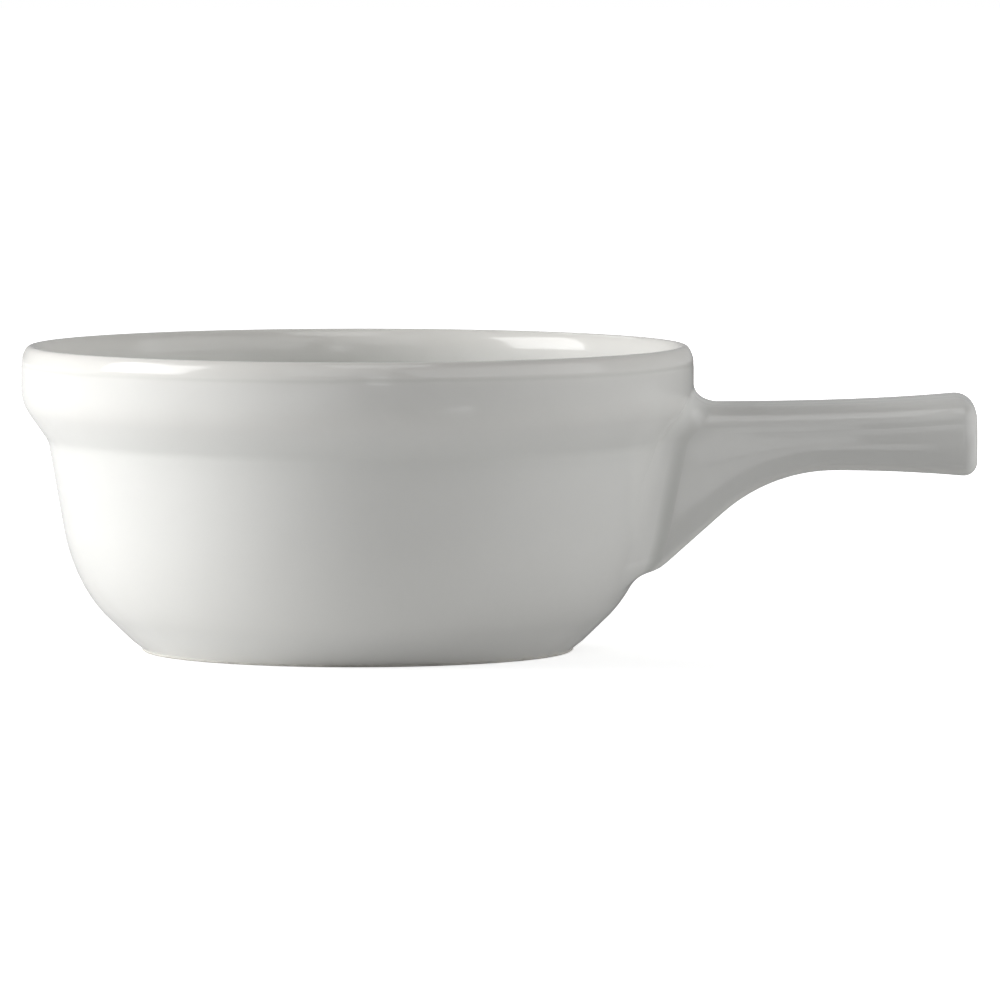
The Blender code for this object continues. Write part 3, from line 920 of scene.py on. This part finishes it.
@dataclass
class LutedSeam:
    """The slip that joins the handle to the bowl, smoothed into a cove and glazed over.

    Each reach is given on top of the handle, on its sides and under it. On the sides, the cove
    widens below the rim band, between the two heights of widening.
    """

    bowl: Bowl
    handle: StickHandle
    bowl_reach: Triple = (0.0036, 0.0095, 0.0034)
    band_reach: Triple = (0.0036, 0.0056, 0.0034)
    widening: Pair = (0.0385, 0.0315)
    handle_reach: Triple = (0.0050, 0.0052, 0.0030)
    bowl_pull: float = 0.78
    handle_pull: float = 0.28
    lift: float = 0.00002
    sunk: float = 0.000008
    rise_share: float = 0.4
    tuck: float = 0.0016
    tuck_depth: float = 0.00004
    core_depth: float = 0.001
    nudge: float = 0.00005
    cove_rings: int = 24
    # Painted shade in the cove: where it starts across the cove, and its least and added amount.
    painted_shade_start: float = 0.5
    painted_shade_amount: Pair = (0.2, 0.8)
    # Its pooled grey is painted shade in the crease by the handle, where the glaze lies thickest.
    glaze: GlazedChina = GlazedChina(name="vitrified_china_gloss_glaze_painted_crease_shade", pooled_and_shade="#CFD0CC")

    def reach(self, spans: Triple) -> np.ndarray:
        """Spread the cove's reach smoothly round the handle.

        Args:
            spans: its reach on top of the handle, on its sides and under it.

        Returns:
            One reach for each place round the handle.
        """
        across, up = self.handle.facing()
        top, side, foot = spans
        return across**2 * side + (1 - across**2) * np.where(up > 0, top, foot)

    def lengthened(self, directions: np.ndarray, spans: np.ndarray) -> np.ndarray:
        """Give directions the lengths of spans."""
        lengths = np.linalg.norm(spans, axis=1) / np.linalg.norm(directions, axis=1)
        return directions * lengths[:, None]

    def off_wall(self, ring: np.ndarray, wall: WallSurface, clearance: float) -> np.ndarray:
        """Move points that lie in the wall out of it.

        Args:
            ring: points about the bowl's axis.
            wall: the wall.
            clearance: how far the points stand off the wall at least.

        Returns:
            The points, none of them nearer to the axis than the wall and the clearance.
        """
        radii = np.hypot(ring[:, 0], ring[:, 1])
        least = wall.radius(ring[:, 2]) + clearance
        grown = np.maximum(radii, least) / radii
        return ring * np.column_stack([grown, grown, np.ones_like(grown)])

    def build(self) -> Pieces:
        """Build the cove round the handle's root, closed inside the two pieces that it joins.

        Returns:
            The one piece.
        """
        wall = WallSurface(self.bowl)
        sunk_wall = WallSurface(self.bowl, -self.sunk)
        deep_wall = WallSurface(self.bowl, -self.tuck_depth)
        corner_reach = self.handle.root(wall)
        corner = self.handle.points(corner_reach)
        turns, heights = np.arctan2(corner[:, 1], corner[:, 0]), corner[:, 2]
        on_band, on_body = self.reach(self.band_reach), self.reach(self.bowl_reach)
        widened = np.clip((heights - self.widening[0]) / np.diff(self.widening), 0.0, 1.0)
        over_bowl = on_band + (on_body - on_band) * widened**2 * (3 - 2 * widened)
        end_reach = corner_reach + self.reach(self.handle_reach)
        start = sunk_wall.spread(turns, heights, over_bowl)
        end = self.handle.points(end_reach, -self.sunk)
        down_wall = sunk_wall.spread(turns, heights, over_bowl - self.nudge) - start
        down_handle = self.handle.points(end_reach - self.nudge, -self.sunk) - end
        first = start + self.bowl_pull * self.lengthened(down_wall, corner - start)
        last = end + self.handle_pull * self.lengthened(down_handle, corner - end)
        shares = np.linspace(0.0, 1.0, self.cove_rings + 1)
        cove = []
        for share in shares:
            clearance = min(1.0, share / self.rise_share) * (self.lift + self.sunk) - self.sunk
            ring = bezier(share, start, first, last, end)
            cove.append(self.off_wall(ring, wall, clearance))
        before = deep_wall.spread(turns, heights, over_bowl + self.tuck)
        after = self.handle.points(end_reach + self.tuck, -self.tuck_depth)
        inner = self.handle.points(corner_reach, -self.core_depth)
        rings = [before, *cove, after, inner]
        mesh = skin("glazed_luted_seam", [ring + BOWL_AXIS for ring in rings], looped=True)

        # Painted shade: darker on the handle's side of the cove, most on its flanks and low down.
        shade_ramp = np.clip((shares - self.painted_shade_start) / (1 - self.painted_shade_start), 0.0, 1.0)
        depth = [0.0, *np.sin(shade_ramp * math.pi), 0.0, 0.0]
        beside = self.handle.facing()[0] ** 2
        down_share = (heights.max() - heights) / np.ptp(heights)
        amount = self.painted_shade_amount[0] + self.painted_shade_amount[1] * beside * down_share
        keep_coat(mesh, Coat.POOLED_AND_SHADE, np.concatenate([share * amount for share in depth]))
        keep_coat(mesh, Coat.THIN, np.zeros(len(mesh.vertices)))
        return [add_piece(mesh, "luting_slip")]

    def dress(self, pieces: Pieces) -> None:
        """Give the cove its glaze."""
        pieces[0].data.materials.append(self.glaze.material())


# Studio


@dataclass(frozen=True)
class Softbox:
    """A rectangular lamp with its face towards the dish."""

    name: str
    azimuth: float
    elevation: float
    watts: float
    width: float = 0.55
    height: float = 0.55
    distance: float = 1.1
    aim: Triple = (0.0, 0.0, 0.03)
    lights: bool = True
    mirrored: bool = True

    def add(self) -> bpy.types.Object:
        """Put the lamp into the scene, its azimuth counted from the camera's side to the right.

        Returns:
            The lamp.
        """
        turn, tilt = math.radians(self.azimuth), math.radians(self.elevation)
        level = math.cos(tilt)
        arm = Vector((math.sin(turn) * level, -math.cos(turn) * level, math.sin(tilt)))
        lamp = bpy.data.lights.new(self.name, "AREA")
        lamp.shape = "RECTANGLE"
        lamp.size = self.width
        lamp.size_y = self.height
        lamp.energy = self.watts
        placed = bpy.data.objects.new(self.name, lamp)
        placed.location = Vector(self.aim) + self.distance * arm
        placed.rotation_euler = (-arm).to_track_quat("-Z", "Y").to_euler()
        placed.visible_camera = False
        placed.visible_diffuse = self.lights
        placed.visible_glossy = self.mirrored
        bpy.context.scene.collection.objects.link(placed)
        return placed


@dataclass
class Studio:
    """Pale floor, soft lamps, white surroundings and the photograph's camera."""

    camera_place: Triple = (0.0003, -2.0, 0.1616)
    camera_aim: Triple = (0.0003, 0.0, 0.0284)
    frame_width: float = 0.18899
    sensor_width: float = 36.0
    view_depth: float = 100.0
    floor_radius: float = 6.0
    floor_steps: int = 96
    floor_colour: str = "#F0F0F0"
    seen_lift: Pair = (0.60, 1.0)
    seen_span: Pair = (0.0, 1.2)
    mirrored_lift: Pair = (0.75, 0.16)
    mirrored_span: Pair = (-0.20, 0.06)
    mirrored_room: float = 0.38
    ambient: float = 0.23
    # Bounce cards light the dish and aren't mirrored in its glaze. Highlights are only mirrored.
    lamps: tuple[Softbox, ...] = (
        Softbox("left_bounce_card", -90, 8, 6.1, mirrored=False),
        Softbox("left_front_bounce_card", -74, 8, 4.2, mirrored=False),
        Softbox("high_left_bounce_card", -90, 30, 3.0, mirrored=False),
        Softbox("right_bounce_card", 90, 8, 3.7, mirrored=False),
        Softbox("high_right_bounce_card", 75, 40, 1.1, mirrored=False),
        Softbox("back_bounce_card", 180, 30, 2.4, mirrored=False),
        Softbox("key_highlight", -79, 27, 6.0, 0.66, 0.58, lights=False),
        Softbox("right_highlight", 57, 27, 3.8, 1.54, 0.75, lights=False),
        Softbox("front_highlight", -8, 38, 1.1, 0.62, 0.70, lights=False),
        Softbox("low_front_highlight", 6.0, 9.5, 0.20, 0.14, 0.36, lights=False),
        Softbox("high_front_highlight", 10, 62, 1.3, 0.50, 0.50, lights=False),
        Softbox("back_highlight", -150, 42, 0.4, 0.40, 0.40, lights=False),
        Softbox(
            "web_highlight", 0, 0, 0.0030, 0.025, 0.034, 0.16, (0.0665, 0.0, 0.017), lights=False
        ),
    )

    def add_camera(self) -> None:
        """Set the camera where the photograph was taken from."""
        camera = bpy.data.cameras.new("photo_camera")
        aim = Vector(self.camera_aim) - Vector(self.camera_place)
        camera.sensor_width = self.sensor_width
        camera.lens = self.sensor_width * aim.length / self.frame_width
        camera.clip_end = self.view_depth
        placed = bpy.data.objects.new("photo_camera", camera)
        placed.location = self.camera_place
        placed.rotation_euler = aim.to_track_quat("-Z", "Y").to_euler()
        bpy.context.scene.collection.objects.link(placed)
        bpy.context.scene.camera = placed

    def add_floor(self) -> bpy.types.Object:
        """Lay the floor: pale paper that shows white to the camera and keeps the shadow.

        Returns:
            The floor.
        """
        turns = np.arange(self.floor_steps) * 2 * math.pi / self.floor_steps
        circle = np.column_stack([np.cos(turns), np.sin(turns), np.zeros_like(turns)])
        rim = self.floor_radius * circle
        floor = bpy.data.objects.new("paper_floor", skin("paper_floor", [np.zeros((1, 3)), rim]))
        bpy.context.scene.collection.objects.link(floor)
        paper = bpy.data.materials.new("matt_white_paper")
        paper.use_nodes = True
        tree = paper.node_tree
        tree.nodes.clear()
        matt = add_node(tree, "ShaderNodeBsdfDiffuse", {"Color": linear(self.floor_colour)})
        place = add_node(tree, "ShaderNodeTexCoord").outputs["Object"]
        distance = add_node(tree, "ShaderNodeVectorMath", None, {0: place}, operation="LENGTH")
        sideways = add_node(tree, "ShaderNodeSeparateXYZ", None, {0: place})
        ray = add_node(tree, "ShaderNodeLightPath").outputs
        shown = {0: ray["Is Camera Ray"], 1: ray["Is Transmission Ray"]}
        seen = add_node(tree, "ShaderNodeMath", None, shown, operation="MAXIMUM").outputs[0]
        lift, mirrored = (
            add_node(
                tree,
                "ShaderNodeMapRange",
                {"From Min": start, "From Max": end, "To Min": near, "To Max": far},
                {"Value": measure},
                interpolation_type="SMOOTHSTEP",
            ).outputs["Result"]
            for measure, (near, far), (start, end) in (
                (distance.outputs["Value"], self.seen_lift, self.seen_span),
                (sideways.outputs["X"], self.mirrored_lift, self.mirrored_span),
            )
        )
        share = add_node(tree, "ShaderNodeMath", None, {0: lift, 1: seen}, operation="MULTIPLY")
        lifted = add_node(tree, "ShaderNodeEmission", None, {"Strength": share.outputs[0]})
        layers = {0: matt.outputs[0], 1: lifted.outputs[0]}
        lit = add_node(tree, "ShaderNodeAddShader", None, layers)
        white = add_node(tree, "ShaderNodeEmission", None, {"Strength": mirrored})
        layers = {0: ray["Is Glossy Ray"], 1: lit.outputs[0], 2: white.outputs[0]}
        whole = add_node(tree, "ShaderNodeMixShader", None, layers)
        add_node(tree, "ShaderNodeOutputMaterial", None, {"Surface": whole.outputs[0]})
        floor.data.materials.append(paper)
        return floor

    def add_surroundings(self) -> None:
        """Light the dish softly from all round and show white behind it."""
        world = bpy.data.worlds.new("white_surroundings")
        bpy.context.scene.world = world
        world.use_nodes = True
        tree = world.node_tree
        tree.nodes.clear()
        ray = add_node(tree, "ShaderNodeLightPath").outputs
        shown = {0: ray["Is Camera Ray"], 1: ray["Is Transmission Ray"]}
        strength = add_node(tree, "ShaderNodeMath", None, shown, operation="MAXIMUM").outputs[0]
        kinds = {"Is Glossy Ray": self.mirrored_room, "Is Diffuse Ray": self.ambient}
        for kind, level in kinds.items():
            links = {0: ray[kind], 2: strength}
            added = add_node(tree, "ShaderNodeMath", {1: level}, links, operation="MULTIPLY_ADD")
            strength = added.outputs[0]
        sockets = {"Color": (1.0, 1.0, 1.0, 1.0)}
        white = add_node(tree, "ShaderNodeBackground", sockets, {"Strength": strength})
        add_node(tree, "ShaderNodeOutputWorld", None, {"Surface": white.outputs[0]})

    def build(self) -> None:
        """Set up camera, floor, lamps and surroundings."""
        bpy.context.scene.view_settings.view_transform = "Standard"
        self.add_camera()
        self.add_floor()
        self.add_surroundings()
        for lamp in self.lamps:
            lamp.add()


def main() -> None:
    """Build the studio and the pieces, and report each piece."""
    logging.basicConfig(level=logging.INFO, format="%(name)s: %(message)s")
    Studio().build()
    bowl = Bowl()
    handle = StickHandle(bowl)
    seam = LutedSeam(bowl, handle)
    for part in (bowl, handle, seam):
        pieces = part.build()
        part.dress(pieces)
        for piece in pieces:
            LOG.info("%s: %d faces", piece.name, len(piece.data.polygons))
    bpy.context.view_layer.update()


if __name__ == "__main__":
    main()
